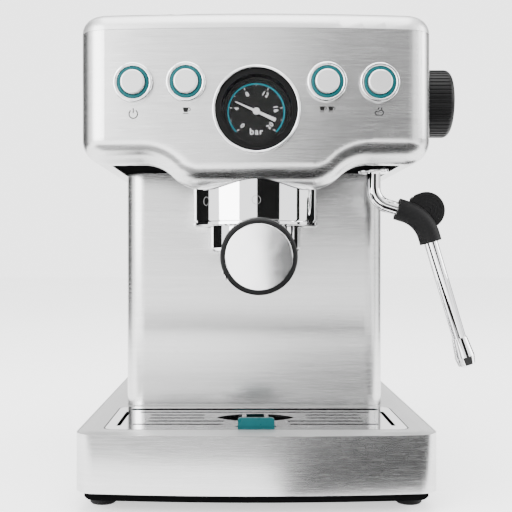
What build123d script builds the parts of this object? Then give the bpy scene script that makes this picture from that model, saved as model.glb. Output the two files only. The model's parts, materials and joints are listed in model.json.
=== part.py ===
from build123d import *
import math
import os

# Espresso machine with a lift-out drip tray, a pressure gauge, four push buttons, a steam knob, a
# swivelling steam wand and a portafilter locked in its group. Millimetres, +Z up, front towards -Y,
# +X to the viewer's right. The origin is on the counter, under the middle of the base.

os.makedirs("parts", exist_ok=True)

# ---- clearances
SEAM = 0.2            # between fixed pieces
GAP = 0.3             # between pieces that move past each other
RUNNING = 0.05        # radial, shaft in its bore

# ---- base
BODY_WIDTH = 240.0
BASE_DEPTH = 300.0
BASE_CORNER = 14.0
BOW_RADIUS = 940.0    # plan radius of the bowed front faces
BASE_TOP = 53.0
SHEET = 1.2           # steel sheet
FOOT_HEIGHT = 8.0
FOOT_RADIUS = 9.0
PAN_INSET = 5.0
PAN_WALL = 2.5
PAN_BEVEL = 1.5
GLAND_X = -60.0
GLAND_RADIUS = 6.5
BAND_BOTTOM = 14.0
FRAME_THICK = 2.6
FRAME_BEVEL_WIDTH = 7.0
FRAME_BEVEL_DROP = 0.6

# ---- drip tray, grate and float
WELL_WIDTH = 206.8
WELL_FRONT_RIM = 21.0   # base front centre to the well
WELL_DEPTH = 91.0
WELL_CORNER = 8.0
GRATE_MARGIN = 1.0
GRATE_THICK = 1.8
TRAY_WALL = 1.8
TRAY_HEIGHT = 31.0
SLOT_WIDTH = 4.0
EYE_LENGTH = 56.0
EYE_WIDTH = 30.0
EYE_BAR = 3.0
FLOAT_TAB_WIDTH = 25.0
FLOAT_TAB_THICK = 3.0
FLOAT_TAB_ABOVE = 6.0

# ---- column
COLUMN_INSET = 20.0     # from the side of the base
COLUMN_CORNER = 15.0
COLUMN_HEIGHT = 179.0   # base top to the underside of the head
COLUMN_SETBACK = 115.0  # base front centre to the column front
TANK_SPACE = 58.0       # back of the casing to the back of the base

# ---- head
HEAD_SETBACK = 18.0
HEAD_CORNER = 20.0
HEAD_BACK_CORNER = 2.0
HEAD_HEIGHT = 89.3      # underside of the wings to the top seam
HEAD_EDGE = 17.0        # radius of the lower edge
SKIRT_DROP = 17.0
SKIRT_HALF_WIDTH = 37.0
SKIRT_FLANK = 40.0      # width of each S-shaped flank
RIM = 3.0               # flat rim behind the lower edge
COVER_HEIGHT = 12.0
COVER_EDGE = 11.5
COVER_WALL = 2.2
WARMER_MARGIN = 24.0
WARMER_DEPTH = 3.0

# ---- gauge
GAUGE_BELOW_SEAM = 54.6
GAUGE_BEZEL_RADIUS = 29.35
GAUGE_CASE_RADIUS = GAUGE_BEZEL_RADIUS - 2.0
GAUGE_DIAL_RADIUS = GAUGE_CASE_RADIUS - 4.05
NEEDLE_ANGLE = -65.4    # degrees clockwise from straight up, seen from the front
NEEDLE_TIP = 15.4
NEEDLE_TAIL = 14.3

# ---- buttons
BUTTON_BELOW_SEAM = 36.0
BUTTON_GAUGE_GAP = 4.4
BUTTON_PITCH = 35.5
BUTTON_BEZEL_RADIUS = 13.25
BUTTON_RING_RADIUS = BUTTON_BEZEL_RADIUS - 2.65
BUTTON_CAP_RADIUS = BUTTON_RING_RADIUS - 2.5
BUTTON_TRAVEL = 2.0

# ---- group and portafilter
COLLAR_RADIUS = 45.0
GROUP_REACH = COLLAR_RADIUS + 4.0  # column front to the group axis
COLLAR_DROP = 42.0      # underside of the wings to the bottom of the collar
COLLAR_BORE = COLLAR_RADIUS - 4.7
COLLAR_LEDGE = 4.7
BOWL_RADIUS = 32.5
BOWL_BELOW_COLLAR = 18.0
BASKET_RADIUS = BOWL_RADIUS - 3.1
SCREEN_RADIUS = BASKET_RADIUS + 0.4
NECK_RADIUS = BASKET_RADIUS - 3.4
BASKET_WALL = 0.8
EAR_REACH = COLLAR_BORE - 1.0
EAR_ANGLE = 40.0
TURN_OUT = 50.0         # degrees from locked to released
SPOUT_HALF_WIDTH = 24.0
NOZZLE_RADIUS = 5.0
NECK_ROD_RADIUS = 6.0
NECK_ABOVE_FLOOR = 11.5     # bottom of the bowl to the handle axis
GRIP_START = COLLAR_RADIUS - BOWL_RADIUS + 6.0  # along the handle from the bowl
HANDLE_TILT = 7.9
HANDLE_END_RADIUS = 22.0
HANDLE_LENGTH = 89.0
END_CAP_RADIUS = HANDLE_END_RADIUS - 2.8

# ---- steam knob and wand
KNOB_RADIUS = 25.0
KNOB_DEPTH = 24.0
KNOB_FLUTES = 48
KNOB_SETBACK = 72.0     # head front centre to the knob axis
KNOB_BELOW_SEAM = 38.8
SPINDLE_RADIUS = 3.0
WAND_FROM_SIDE = 34.5
WAND_SETBACK = 52.0     # head front centre to the wand axis
WAND_RADIUS = 5.0
SOCKET_RADIUS = WAND_RADIUS + 3.0
KNEE_BEND = 14.0
ELBOW_BEND = 26.0
WAND_BORE_RADIUS = 2.0
SLEEVE_RADIUS = 8.0
FINGER_DISC_RADIUS = 13.5

# ---- water tank
TANK_WALL = 2.2
TANK_HEIGHT = 265.0
TANK_MARGIN = 4.0
LID_THICK = 3.5
HINGE_PIN_RADIUS = 1.5
KNUCKLE_RADIUS = 3.2

# ---- places worked out from the sizes above
HALF = BODY_WIDTH / 2
BASE_FRONT = -BASE_DEPTH / 2
BASE_BACK = BASE_DEPTH / 2
CASING_BACK = BASE_BACK - TANK_SPACE
COLUMN_FRONT = BASE_FRONT + COLUMN_SETBACK
COLUMN_HALF = HALF - COLUMN_INSET
WING_Z = BASE_TOP + COLUMN_HEIGHT
SKIRT_Z = WING_Z - SKIRT_DROP
SEAM_Z = WING_Z + HEAD_HEIGHT
HEAD_FRONT = BASE_FRONT + HEAD_SETBACK
GROUP_Y = COLUMN_FRONT - GROUP_REACH
COLLAR_Z = WING_Z - COLLAR_DROP
EAR_Z = COLLAR_Z + COLLAR_LEDGE + GAP
BOWL_Z = COLLAR_Z - BOWL_BELOW_COLLAR
BOWL_TOP = COLLAR_Z + 12.0
RIM_TOP = BOWL_TOP + 1.0
GASKET_Z = RIM_TOP + GAP
FLANGE_Z = GASKET_Z + 5.7
FLANGE_THICK = 5.0
WELL_FRONT = BASE_FRONT + WELL_FRONT_RIM
WELL_BACK = WELL_FRONT + WELL_DEPTH
WELL_MIDDLE = (WELL_FRONT + WELL_BACK) / 2
PANEL_Z = WING_Z + SHEET + SEAM
PANEL_THICK = 2.0
GAUGE_Z = SEAM_Z - GAUGE_BELOW_SEAM
BUTTON_Z = SEAM_Z - BUTTON_BELOW_SEAM
BUTTON_INNER = GAUGE_BEZEL_RADIUS + BUTTON_GAUGE_GAP + BUTTON_BEZEL_RADIUS
BUTTON_OUTER = BUTTON_INNER + BUTTON_PITCH
BOARD_Y = HEAD_FRONT + 30.0
KNOB_Y = HEAD_FRONT + KNOB_SETBACK
KNOB_Z = SEAM_Z - KNOB_BELOW_SEAM
WAND_X = HALF - WAND_FROM_SIDE
WAND_Y = HEAD_FRONT + WAND_SETBACK
TANK_FRONT = CASING_BACK + TANK_MARGIN
TANK_BACK = BASE_BACK - 3.0
TANK_HALF = COLUMN_HALF - 5.0
TANK_Z = BASE_TOP + GAP
TANK_TOP = TANK_Z + TANK_HEIGHT
VALVE_X = TANK_HALF - 35.0
VALVE_Y = (TANK_FRONT + TANK_BACK) / 2
VALVE_RADIUS = 8.0
HINGE_Y = TANK_BACK + KNUCKLE_RADIUS + GAP
HINGE_Z = TANK_TOP + 1.5
PUMP_X = 22.0
PUMP_Y = (COLUMN_FRONT + CASING_BACK) / 2
BOILER_FRONT = BOARD_Y + 4.0
BOILER_BACK = BOILER_FRONT + 76.0
BOILER_HALF = 38.0
BOILER_Z = PANEL_Z + PANEL_THICK + 3.0
BOILER_TOP = BOILER_Z + 55.0
GAUGE_BACK = HEAD_FRONT + 22.0
FRAME_BOTTOM = BASE_TOP - FRAME_THICK
GLAND_Z = (BAND_BOTTOM + BASE_TOP) / 2
TRAY_TOP = BASE_TOP - GRATE_THICK - GAP
TRAY_BOTTOM = TRAY_TOP - TRAY_HEIGHT
FLOAT_Y = WELL_FRONT + 12.0
SPRING_Z = BOWL_Z + 17.0
SOCKET_TOP = WING_Z + 18.0
WAND_TIP = (WAND_X + 67.2, WAND_Y, WING_Z - 139.2)


# ---- helpers
def block(x0, x1, y0, y1, z0, z1):
    """Box between two corners."""
    return Pos((x0 + x1) / 2, (y0 + y1) / 2, (z0 + z1) / 2) * Box(x1 - x0, y1 - y0, z1 - z0)


def rod_z(x, y, radius, z0, z1):
    """Upright cylinder."""
    return Pos(x, y, (z0 + z1) / 2) * Cylinder(radius, z1 - z0)


def rod_y(x, z, radius, y0, y1):
    """Cylinder along Y."""
    return Pos(x, (y0 + y1) / 2, z) * Rot(90, 0, 0) * Cylinder(radius, y1 - y0)


def rod_x(y, z, radius, x0, x1):
    """Cylinder along X."""
    return Pos((x0 + x1) / 2, y, z) * Rot(0, 90, 0) * Cylinder(radius, x1 - x0)


def bowed_front(y_front, x):
    """Y of a bowed front face at a distance x from the middle."""
    return y_front + BOW_RADIUS - math.sqrt(BOW_RADIUS**2 - x**2)


def bowed_plan(y_front, y_back, corner, back_corner, inset):
    """Plan outline with a bowed front, drawn in by an inset on every side."""
    half = HALF - inset
    front = y_front + inset
    radius = BOW_RADIUS - inset
    side_y = front + radius - math.sqrt(radius**2 - half**2)
    back = y_back - inset
    nose = ThreePointArc((-half, side_y), (0, front), (half, side_y))
    rest = Polyline((half, side_y), (half, back), (-half, back), (-half, side_y))
    face = make_face(nose + rest)
    face = fillet(face.vertices().sort_by(Axis.Y)[:2], max(corner - inset, 1.0))
    return fillet(face.vertices().sort_by(Axis.Y)[-2:], max(back_corner - inset, 1.0))


def base_plan(inset=0.0):
    """Plan outline of the base."""
    return bowed_plan(BASE_FRONT, BASE_BACK, BASE_CORNER, BASE_CORNER, inset)


def head_plan(inset=0.0, back=CASING_BACK):
    """Plan outline of the head."""
    return bowed_plan(HEAD_FRONT, back, HEAD_CORNER, HEAD_BACK_CORNER, inset)


def prism(face, z0, z1):
    """A plan outline raised between two heights."""
    return Pos(0, 0, z0) * extrude(face, amount=z1 - z0)


def rounded_box(x0, x1, y0, y1, z0, z1, corner):
    """Box with rounded upright edges."""
    outline = Pos((x0 + x1) / 2, (y0 + y1) / 2) * RectangleRounded(x1 - x0, y1 - y0, corner)
    return prism(outline, z0, z1)


def bent_path(points, radii):
    """Straight runs through the points, joined by tangent arcs of the given radii."""
    corners = [Vector(*p) for p in points]
    edges = []
    start = corners[0]
    for before, corner, after, radius in zip(corners, corners[1:], corners[2:], radii):
        into = (corner - before).normalized()
        out = (after - corner).normalized()
        turn = math.acos(into.dot(out))
        reach = radius * math.tan(turn / 2)
        first = corner - into * reach
        last = corner + out * reach
        inward = (out - into).normalized()
        middle = corner + inward * (radius / math.cos(turn / 2) - radius)
        edges.append(Line(start, first))
        edges.append(ThreePointArc(first, middle, last))
        start = last
    edges.append(Line(start, corners[-1]))
    return Wire(edges)


def tube(points, radii, radius):
    """Round rod that follows a bent path."""
    path = bent_path(points, radii)
    section = Plane(origin=path @ 0, z_dir=path % 0) * Circle(radius)
    return sweep(section, path=path)


def save(part, name):
    """Write one sub-part."""
    export_step(part, f"parts/{name}.step")


# ---- base
def rubber_feet():
    feet = []
    for x in (-HALF + 15, HALF - 15):
        for y in (BASE_FRONT + 38, BASE_BACK - 30):
            sole = rod_z(x, y, FOOT_RADIUS, 0, FOOT_HEIGHT - 3)
            sole = chamfer(sole.edges().group_by(Axis.Z)[0], 1.0)
            shoulder = rod_z(x, y, FOOT_RADIUS + 2, FOOT_HEIGHT - 3, FOOT_HEIGHT - SEAM / 2)
            feet.append(sole + shoulder)
    return Compound(children=feet)


def base_pan():
    under = base_plan(PAN_INSET + PAN_BEVEL)
    outline = base_plan(PAN_INSET)
    bevel_top = FOOT_HEIGHT + PAN_BEVEL
    plinth = prism(outline, bevel_top, BAND_BOTTOM)
    plinth += loft([Pos(0, 0, FOOT_HEIGHT) * under, Pos(0, 0, bevel_top) * outline], ruled=True)
    flange_plan = base_plan(SHEET + SEAM)
    flange = prism(flange_plan, BAND_BOTTOM, BAND_BOTTOM + PAN_WALL)
    hollow_plan = base_plan(PAN_INSET + PAN_WALL)
    pan = plinth + flange - prism(hollow_plan, FOOT_HEIGHT + PAN_WALL, BAND_BOTTOM + PAN_WALL)
    rest_top = BASE_TOP - GRATE_THICK - GAP - TRAY_HEIGHT - GAP
    for step in (-0.3, 0.0, 0.3):
        y = WELL_MIDDLE + step * WELL_DEPTH
        rib_half = WELL_WIDTH / 2 - 15
        pan += block(-rib_half, rib_half, y - 1, y + 1, FOOT_HEIGHT + PAN_WALL, rest_top)
    for x, y in screw_places():
        pan += rod_z(x, y, 4.5, FOOT_HEIGHT + PAN_WALL, FRAME_BOTTOM - SEAM)
        pan -= rod_z(x, y, 1.6, FOOT_HEIGHT - 1, FRAME_BOTTOM)
    return pan


def screw_places():
    """Six screws from below that hold the pan to the top frame."""
    side = HALF - PAN_INSET - PAN_WALL - 7
    front = BASE_FRONT + 24
    back = BASE_BACK - 15
    return [(x, y) for x in (-side, side) for y in (front, (front + back) / 2, back)]


def base_screws():
    screws = []
    for x, y in screw_places():
        head = rod_z(x, y, 3.0, FOOT_HEIGHT - 1.6, FOOT_HEIGHT - 0.1)
        socket = rod_z(x, y, 1.2, FOOT_HEIGHT - 1.6, FOOT_HEIGHT - 0.8)
        screws.append(head - socket + rod_z(x, y, 1.5, FOOT_HEIGHT - 0.1, FRAME_BOTTOM - 2))
    return Compound(children=screws)


def base_band():
    outer = prism(base_plan(), BAND_BOTTOM, BASE_TOP - FRAME_BEVEL_DROP)
    inner = prism(base_plan(SHEET), BAND_BOTTOM, BASE_TOP)
    gland_hole = rod_y(GLAND_X, GLAND_Z, GLAND_RADIUS + 0.1, BASE_BACK - 5, BASE_BACK + 5)
    return outer - inner - gland_hole


def cord_gland():
    flange = rod_y(GLAND_X, GLAND_Z, GLAND_RADIUS + 2.5, BASE_BACK + 0.1, BASE_BACK + 2.6)
    barrel = rod_y(GLAND_X, GLAND_Z, GLAND_RADIUS, BASE_BACK - 8, BASE_BACK + 16)
    return flange + barrel - rod_y(GLAND_X, GLAND_Z, 3.5, BASE_BACK - 9, BASE_BACK + 17)


def base_top_frame():
    inset = SHEET + SEAM
    low = base_plan(inset)
    high = base_plan(inset + FRAME_BEVEL_WIDTH)
    shoulder = BASE_TOP - FRAME_BEVEL_DROP
    frame = prism(low, FRAME_BOTTOM, shoulder)
    frame += loft([Pos(0, 0, shoulder) * low, Pos(0, 0, BASE_TOP) * high], ruled=True)
    half = WELL_WIDTH / 2
    well = rounded_box(-half, half, WELL_FRONT, WELL_BACK, FRAME_BOTTOM - 1, BASE_TOP + 1, WELL_CORNER)
    valve_hole = rod_z(VALVE_X, VALVE_Y, VALVE_RADIUS + 1.5, FRAME_BOTTOM - 1, BASE_TOP + 1)
    hose_hole = rod_z(PUMP_X, PUMP_Y, 7, FRAME_BOTTOM - 1, BASE_TOP + 1)
    return frame - well - valve_hole - hose_hole


def tank_valve_seat():
    top = FRAME_BOTTOM - SEAM
    cup = rod_z(VALVE_X, VALVE_Y, VALVE_RADIUS + 4.5, top - 10.5, top)
    cup -= rod_z(VALVE_X, VALVE_Y, VALVE_RADIUS + 1.5, top - 8.5, top)
    nipple = rod_z(VALVE_X, VALVE_Y, 3.0, top - 14, top - 10.5)
    return cup + nipple


# ---- drip tray, grate and level float
def tray_outline(inset, z0, z1):
    half = WELL_WIDTH / 2 - inset
    corner = max(WELL_CORNER - inset, 1.0)
    return rounded_box(-half, half, WELL_FRONT + inset, WELL_BACK - inset, z0, z1, corner)


def drip_tray():
    inset = GRATE_MARGIN + 0.9
    tray = tray_outline(inset, TRAY_BOTTOM, TRAY_TOP)
    tray = fillet(tray.edges().group_by(Axis.Z)[0], 3.0)
    well = tray_outline(inset + TRAY_WALL, TRAY_BOTTOM + 2.0, TRAY_TOP + 1)
    return tray - fillet(well.edges().group_by(Axis.Z)[0], 2.0)


def slot_x(x0, x1, y, width):
    """Round-ended slot cutter along X through the grate."""
    middle = (x0 + x1) / 2
    outline = Pos(middle, y) * SlotOverall(x1 - x0, width)
    return prism(outline, TRAY_TOP, BASE_TOP + 1)


def slot_y(x, y0, y1, width):
    """Round-ended slot cutter along Y through the grate."""
    outline = Pos(x, (y0 + y1) / 2) * Rot(0, 0, 90) * SlotOverall(y1 - y0, width)
    return prism(outline, TRAY_TOP, BASE_TOP + 1)


def eye_opening():
    """Pointed opening between two arcs under the spouts, kept as three cells by two bars."""
    a = EYE_LENGTH / 2
    b = EYE_WIDTH / 2
    upper = ThreePointArc((-a, GROUP_Y), (0, GROUP_Y + b), (a, GROUP_Y))
    lower = ThreePointArc((a, GROUP_Y), (0, GROUP_Y - b), (-a, GROUP_Y))
    eye = prism(make_face(upper + lower), TRAY_TOP, BASE_TOP + 1)
    for x in (-a / 3.5, a / 3.5):
        eye -= block(x - EYE_BAR / 2, x + EYE_BAR / 2, GROUP_Y - b, GROUP_Y + b, TRAY_TOP, BASE_TOP + 1)
    return eye


def drip_grate():
    grate = tray_outline(GRATE_MARGIN, BASE_TOP - GRATE_THICK, BASE_TOP)
    edge = WELL_WIDTH / 2
    pitch = 11.8
    rows = [GROUP_Y + 33.5 - pitch * n for n in range(6)]
    grate -= slot_x(-edge + 10, edge - 10, rows[0] + 0.5, 8.0)
    grate -= slot_x(-edge + 18, edge - 18, rows[1], SLOT_WIDTH)
    for side in (-1, 1):
        for y in rows[2:4]:
            grate -= slot_x(*sorted((side * 36.5, side * (edge - 27))), y, SLOT_WIDTH)
        grate -= slot_x(*sorted((side * 22, side * (edge - 27))), rows[4], SLOT_WIDTH)
        grate -= slot_x(*sorted((side * 23, side * (edge - 18))), rows[5], SLOT_WIDTH)
        grate -= slot_y(side * (edge - 9), WELL_FRONT + 14, WELL_BACK - 22, 3.0)
    grate -= eye_opening()
    float_slot = FLOAT_TAB_WIDTH + 4
    grate -= slot_x(-float_slot / 2, float_slot / 2, FLOAT_Y, FLOAT_TAB_THICK + 1.6)
    return grate


def level_float():
    half = FLOAT_TAB_WIDTH / 2
    top = BASE_TOP + FLOAT_TAB_ABOVE
    buoy_top = TRAY_TOP - 9
    tab = block(-half, half, FLOAT_Y - FLOAT_TAB_THICK / 2, FLOAT_Y + FLOAT_TAB_THICK / 2, buoy_top, top)
    tab = fillet(tab.edges().filter_by(Axis.Y).group_by(Axis.Z)[-1], 2.0)
    buoy = rounded_box(-half - 5, half + 5, FLOAT_Y - 6, FLOAT_Y + 8, buoy_top - 10, buoy_top, 3)
    return tab + buoy


# ---- column
def column_outline(inset, y_back, z0, z1):
    half = COLUMN_HALF - inset
    front = COLUMN_FRONT + inset
    body = block(-half, half, front, y_back, z0, z1)
    corners = body.edges().filter_by(Axis.Z).sort_by(Axis.Y)[:2]
    return fillet(corners, COLUMN_CORNER - inset)


def column_wrap():
    top = WING_Z + SHEET
    outer = column_outline(0, CASING_BACK, BASE_TOP + SEAM, top)
    return outer - column_outline(SHEET, CASING_BACK + 1, BASE_TOP, top + 1)


def inner_chassis():
    inset = SHEET + SEAM
    foot = BASE_TOP + SEAM
    floor = column_outline(inset, CASING_BACK - 4, foot, foot + 2)
    half = COLUMN_HALF - inset - 3
    chassis = floor
    for side in (-1, 1):
        x0, x1 = sorted((side * half, side * (half - 2)))
        chassis += block(x0, x1, COLUMN_FRONT + 25, CASING_BACK - 20, foot + 2, WING_Z)
        z0, z1 = foot + 30, WING_Z - 30
        y0, y1 = COLUMN_FRONT + 45, CASING_BACK - 40
        chassis -= block(x0 - 1, x1 + 1, y0, y1, z0, z1)
    return chassis - rod_z(PUMP_X, PUMP_Y, 7, BASE_TOP, foot + 3)


def back_panel():
    y0, y1 = CASING_BACK - 3.2, CASING_BACK - 0.7
    half = COLUMN_HALF - SHEET - SEAM
    lower = block(-half, half, y0, y1, BASE_TOP + SEAM, WING_Z + SHEET)
    head_room = head_solid(SHEET + SEAM, CASING_BACK + 5)
    slab = block(-HALF, HALF, y0, y1, PANEL_Z + PANEL_THICK + SEAM, SEAM_Z - SEAM)
    panel = lower + (head_room & slab)
    for n in range(9):
        x = (n - 4) * 12.0
        panel -= block(x - 1.8, x + 1.8, y0 - 1, y1 + 1, WING_Z - 80, WING_Z - 25)
        panel -= block(x - 1.8, x + 1.8, y0 - 1, y1 + 1, SEAM_Z - 55, SEAM_Z - 20)
    neck = block(-half + 10, half - 10, y0, y1, WING_Z, PANEL_Z + PANEL_THICK + 2)
    return panel + neck


def back_screw_places():
    low = BASE_TOP + 12
    lower = [(x, z) for x in (-COLUMN_HALF + 12, COLUMN_HALF - 12) for z in (low, WING_Z - 12)]
    upper = [(x, SEAM_Z - 12) for x in (-HALF + 14, HALF - 14)]
    return lower + upper


def back_panel_screws():
    screws = []
    for x, z in back_screw_places():
        y = CASING_BACK - 0.7
        head = fillet(rod_y(x, z, 3.4, y + 0.1, y + 2.1).edges().sort_by(Axis.Y)[-1], 0.9)
        socket = rod_y(x, z, 1.2, y + 1.1, y + 2.1)
        screws.append(head - socket)
    return Compound(children=screws)


# ---- head
def skirt_profile(lift):
    """Area below the lower edge of the head, seen from the front: level wings and a dropped middle."""
    low = SKIRT_Z + lift
    high = WING_Z + lift
    inner = SKIRT_HALF_WIDTH
    outer = SKIRT_HALF_WIDTH + SKIRT_FLANK
    middle = (inner + outer) / 2
    rise = (low + high) / 2
    # each flank is two equal arcs that meet in its middle
    arc_radius = (SKIRT_FLANK**2 + SKIRT_DROP**2) / (4 * SKIRT_DROP)
    sweep_angle = math.asin(SKIRT_FLANK / 2 / arc_radius) / 2
    dx = arc_radius * math.sin(sweep_angle)
    dz = arc_radius * (1 - math.cos(sweep_angle))
    edges = []
    for side in (-1, 1):
        lower_mid = (side * (inner + dx), 0, low + dz)
        upper_mid = (side * (outer - dx), 0, high - dz)
        edges.append(ThreePointArc((side * inner, 0, low), lower_mid, (side * middle, 0, rise)))
        edges.append(ThreePointArc((side * middle, 0, rise), upper_mid, (side * outer, 0, high)))
        edges.append(Line((side * outer, 0, high), (side * (HALF + 20), 0, high)))
        edges.append(Line((side * (HALF + 20), 0, high), (side * (HALF + 20), 0, SKIRT_Z - 30)))
    edges.append(Line((-inner, 0, low), (inner, 0, low)))
    edges.append(Line((-HALF - 20, 0, SKIRT_Z - 30), (HALF + 20, 0, SKIRT_Z - 30)))
    return Face(Wire.combine(edges)[0])


def head_solid(inset, y_back):
    """Solid of the head, drawn in by an inset, with its lower edge rounded all round but the back."""
    plan = head_plan(inset, y_back + inset)
    body = prism(plan, SKIRT_Z + inset - 1, SEAM_Z)
    below = skirt_profile(inset)
    cutter = extrude(Pos(0, HEAD_FRONT - 40, 0) * below, amount=y_back - HEAD_FRONT + 120, dir=(0, 1, 0))
    body -= cutter
    low_faces = body.faces().filter_by(lambda f: f.normal_at().Z < -0.3)
    rim = ShapeList()
    for face in low_faces:
        for edge in face.edges():
            middle = edge @ 0.5
            flat_across = abs((edge % 0.5).Y) > 0.98 and abs(middle.X) < HALF - inset - 1
            at_back = middle.Y > y_back + inset - 8
            if not flat_across and not at_back:
                rim.append(edge)
    return fillet(rim, HEAD_EDGE - inset)


def head_shell():
    outer = head_solid(0, CASING_BACK)
    inner = head_solid(SHEET, CASING_BACK + 10)
    shell = outer - inner - block(-HALF, HALF, HEAD_FRONT - 20, CASING_BACK + 20, SEAM_Z - 0.01, SEAM_Z + 5)
    mouth = head_plan(HEAD_EDGE + RIM, CASING_BACK + 60)
    shell -= prism(mouth, SKIRT_Z - 5, WING_Z + 4)
    shell -= rod_y(0, GAUGE_Z, GAUGE_BEZEL_RADIUS + 0.1, HEAD_FRONT - 10, HEAD_FRONT + 10)
    for x in button_places():
        shell -= rod_y(x, BUTTON_Z, BUTTON_BEZEL_RADIUS + 0.1, HEAD_FRONT - 10, HEAD_FRONT + 25)
    return shell - rod_x(KNOB_Y, KNOB_Z, SPINDLE_RADIUS + 1, HALF - 10, HALF + 10)


def button_places():
    return (-BUTTON_OUTER, -BUTTON_INNER, BUTTON_INNER, BUTTON_OUTER)


def underside_panel():
    plan = head_plan(HEAD_EDGE - 1, CASING_BACK + HEAD_EDGE - 4.6)
    panel = prism(plan, PANEL_Z, PANEL_Z + PANEL_THICK)
    panel -= rod_z(0, GROUP_Y, NECK_RADIUS + 0.5, PANEL_Z - 1, PANEL_Z + 5)
    panel -= rod_z(PUMP_X, PUMP_Y, 5, PANEL_Z - 1, PANEL_Z + 5)
    return panel - rod_z(WAND_X, WAND_Y, SOCKET_RADIUS + SEAM, PANEL_Z - 1, PANEL_Z + 5)


def top_cover():
    z0 = SEAM_Z + SEAM
    top = z0 + COVER_HEIGHT
    outer = prism(head_plan(), z0, top)
    outer = fillet(outer.edges().group_by(Axis.Z)[-1], COVER_EDGE)
    room = head_plan(COVER_WALL)
    inner = prism(room, z0 - 1, top - WARMER_DEPTH - COVER_WALL)
    inner = fillet(inner.edges().group_by(Axis.Z)[-1], COVER_EDGE / 2)
    return outer - inner - warmer_outline(0, top - WARMER_DEPTH, top + 1)


def warmer_outline(inset, z0, z1):
    half = HALF - WARMER_MARGIN - inset
    y0 = HEAD_FRONT + WARMER_MARGIN + inset
    y1 = CASING_BACK - WARMER_MARGIN + 6 - inset
    return rounded_box(-half, half, y0, y1, z0, z1, 10 - inset)


def cup_warmer_plate():
    top = SEAM_Z + SEAM + COVER_HEIGHT
    plate = warmer_outline(0.5, top - WARMER_DEPTH + 0.1, top - WARMER_DEPTH + 1.6)
    half = HALF - WARMER_MARGIN - 12
    y0 = HEAD_FRONT + WARMER_MARGIN + 14
    y1 = CASING_BACK - WARMER_MARGIN - 8
    count = 13
    for n in range(count):
        y = y0 + (y1 - y0) * n / (count - 1)
        for side in (-1, 1):
            x0, x1 = sorted((side * 5, side * half))
            outline = Pos((x0 + x1) / 2, y) * SlotOverall(x1 - x0, 3.6)
            plate -= prism(outline, top - WARMER_DEPTH, top)
    return plate


# ---- gauge
def gauge_bezel():
    ring = rod_y(0, GAUGE_Z, GAUGE_BEZEL_RADIUS, HEAD_FRONT - 4.5, HEAD_FRONT + 5)
    ring -= rod_y(0, GAUGE_Z, GAUGE_CASE_RADIUS + 0.1, HEAD_FRONT - 5, HEAD_FRONT + 6)
    return fillet(ring.edges().group_by(Axis.Y)[0], 0.7)


def gauge_case():
    case = rod_y(0, GAUGE_Z, GAUGE_CASE_RADIUS, HEAD_FRONT - 3.0, GAUGE_BACK)
    case = chamfer(case.edges().group_by(Axis.Y)[0], 0.5)
    case -= rod_y(0, GAUGE_Z, GAUGE_DIAL_RADIUS + 0.2, HEAD_FRONT - 4, HEAD_FRONT + 9.8)
    return case - rod_y(0, GAUGE_Z, 12.0, HEAD_FRONT + 9, GAUGE_BACK - 3)


def gauge_dial():
    dial = rod_y(0, GAUGE_Z, GAUGE_DIAL_RADIUS, HEAD_FRONT + 8.8, HEAD_FRONT + 9.6)
    return dial - rod_y(0, GAUGE_Z, 1.2, HEAD_FRONT + 8, HEAD_FRONT + 11)


def gauge_lens():
    return rod_y(0, GAUGE_Z, GAUGE_DIAL_RADIUS + 0.1, HEAD_FRONT - 1.5, HEAD_FRONT)


def gauge_movement():
    movement = rod_y(0, GAUGE_Z, 11.6, HEAD_FRONT + 10, GAUGE_BACK - 3.2)
    return movement - rod_y(0, GAUGE_Z, 0.6 + RUNNING, HEAD_FRONT + 9, HEAD_FRONT + 17)


def gauge_needle():
    """Thin pointer with a heavier tail, drawn upright and then turned to its resting angle."""
    y0, y1 = HEAD_FRONT + 5.4, HEAD_FRONT + 6.2
    tip = Polyline((-0.8, 0), (-0.25, NEEDLE_TIP), (0.25, NEEDLE_TIP), (0.8, 0), (-0.8, 0))
    tail = Polyline((-0.8, 0), (0.8, 0), (1.25, -NEEDLE_TAIL), (-1.25, -NEEDLE_TAIL), (-0.8, 0))
    flat = make_face(tip) + make_face(tail)
    blade = extrude(flat, amount=y1 - y0)
    upright = Pos(0, y1, GAUGE_Z) * Rot(0, NEEDLE_ANGLE, 0) * Rot(90, 0, 0) * blade
    hub = rod_y(0, GAUGE_Z, 2.3, y0 - 0.8, y1 + 1.4)
    shaft = rod_y(0, GAUGE_Z, 0.6, y1, HEAD_FRONT + 16)
    return upright + hub + shaft


# ---- buttons
def button_bezels():
    rings = []
    for x in button_places():
        y = bowed_front(HEAD_FRONT, x)
        ring = rod_y(x, BUTTON_Z, BUTTON_BEZEL_RADIUS, y - 4, y + 6)
        ring -= rod_y(x, BUTTON_Z, BUTTON_RING_RADIUS + 0.1, y - 5, y + 7)
        rings.append(fillet(ring.edges().group_by(Axis.Y)[0], 1.0))
    return Compound(children=rings)


def button_light_rings():
    rings = []
    for x in button_places():
        y = bowed_front(HEAD_FRONT, x)
        ring = rod_y(x, BUTTON_Z, BUTTON_RING_RADIUS, y - 3.4, y + 5)
        ring -= rod_y(x, BUTTON_Z, BUTTON_CAP_RADIUS + GAP, y - 5, y + 7)
        rings.append(fillet(ring.edges().group_by(Axis.Y)[0], 0.8))
    return Compound(children=rings)


def button_cap(x):
    y = bowed_front(HEAD_FRONT, x)
    cap = fillet(rod_y(x, BUTTON_Z, BUTTON_CAP_RADIUS, y - 6.4, y + 8).edges().sort_by(Axis.Y)[0], 1.2)
    return cap + rod_y(x, BUTTON_Z, 3.0, y + 8, y + 12)


def button_switches():
    switches = []
    for x in button_places():
        y = bowed_front(HEAD_FRONT, x) + 12 + BUTTON_TRAVEL + GAP
        switches.append(block(x - 6, x + 6, y, BOARD_Y - SEAM, BUTTON_Z - 6, BUTTON_Z + 6))
    return Compound(children=switches)


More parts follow.
